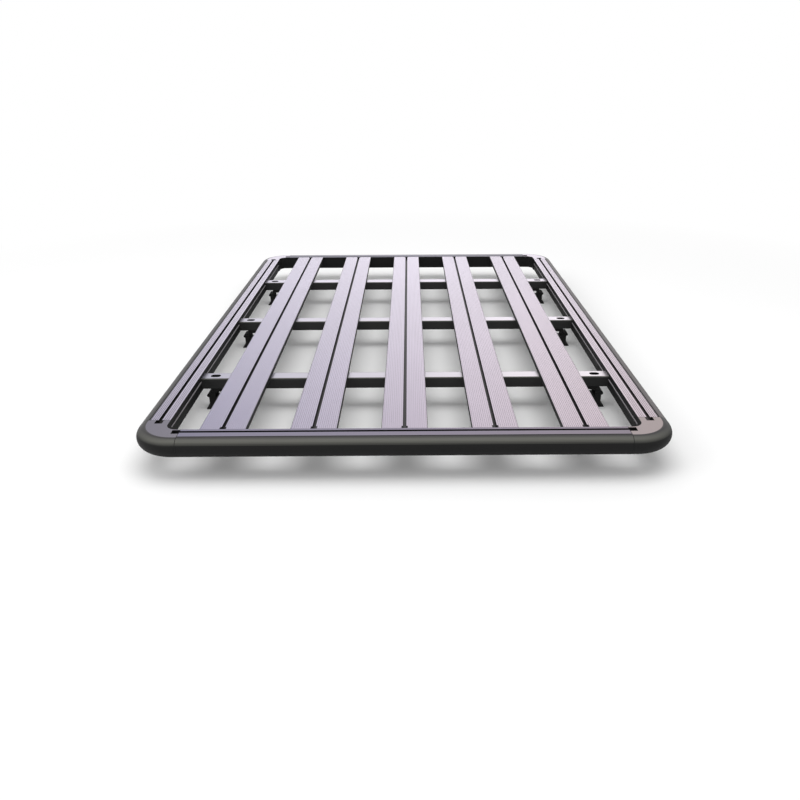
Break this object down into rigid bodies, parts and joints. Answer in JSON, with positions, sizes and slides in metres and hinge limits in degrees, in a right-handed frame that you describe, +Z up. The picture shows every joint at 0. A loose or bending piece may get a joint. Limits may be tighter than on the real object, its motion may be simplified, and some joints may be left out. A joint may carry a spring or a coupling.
{
  "type": "platform roof rack",
  "caption": "Flat slatted platform roof rack: rounded perimeter rails and corner castings, slotted deck planks on crossbars, and clamp feet that grip the vehicle's own rails.",
  "frame": {"origin": "bottom centre of the bounding box, on the plane that the feet stand on, midway between the side rails and the end rails", "axes": "+Y towards the vehicle's front, +X to its right, +Z up"},
  "size_m": [1.24, 1.8, 0.102],
  "materials": {
    "rail_coat": "satin",
    "corner_coat": "satin",
    "plank_coat": "satin",
    "bar_coat": "satin",
    "foot_coat": "matte",
    "liner_rubber": "matte",
    "bolt_steel": "satin"
  },
  "bodies": {
    "root": {"side_rail_left": "rail_coat", "side_rail_right": "rail_coat", "end_rail_front": "rail_coat", "end_rail_rear": "rail_coat", "corner_front_left": "corner_coat", "corner_front_right": "corner_coat", "corner_rear_left": "corner_coat", "corner_rear_right": "corner_coat", "plank_1": "plank_coat", "plank_2": "plank_coat", "plank_3": "plank_coat", "plank_4": "plank_coat", "plank_5": "plank_coat", "joint_keys": "rail_coat", "cleats_front": "rail_coat", "cleats_rear": "rail_coat", "crossbar_front": "bar_coat", "crossbar_middle": "bar_coat", "crossbar_rear": "bar_coat", "foot_leg_front_left": "foot_coat", "foot_leg_front_right": "foot_coat", "foot_leg_middle_left": "foot_coat", "foot_leg_middle_right": "foot_coat", "foot_leg_rear_left": "foot_coat", "foot_leg_rear_right": "foot_coat", "foot_hook_front_left": "foot_coat", "foot_hook_front_right": "foot_coat", "foot_hook_middle_left": "foot_coat", "foot_hook_middle_right": "foot_coat", "foot_hook_rear_left": "foot_coat", "foot_hook_rear_right": "foot_coat", "foot_pad_front_left": "liner_rubber", "foot_pad_front_right": "liner_rubber", "foot_pad_middle_left": "liner_rubber", "foot_pad_middle_right": "liner_rubber", "foot_pad_rear_left": "liner_rubber", "foot_pad_rear_right": "liner_rubber", "foot_bolts_front_left": "bolt_steel", "foot_bolts_front_right": "bolt_steel", "foot_bolts_middle_left": "bolt_steel", "foot_bolts_middle_right": "bolt_steel", "foot_bolts_rear_left": "bolt_steel", "foot_bolts_rear_right": "bolt_steel"}
  },
  "joints": []
}
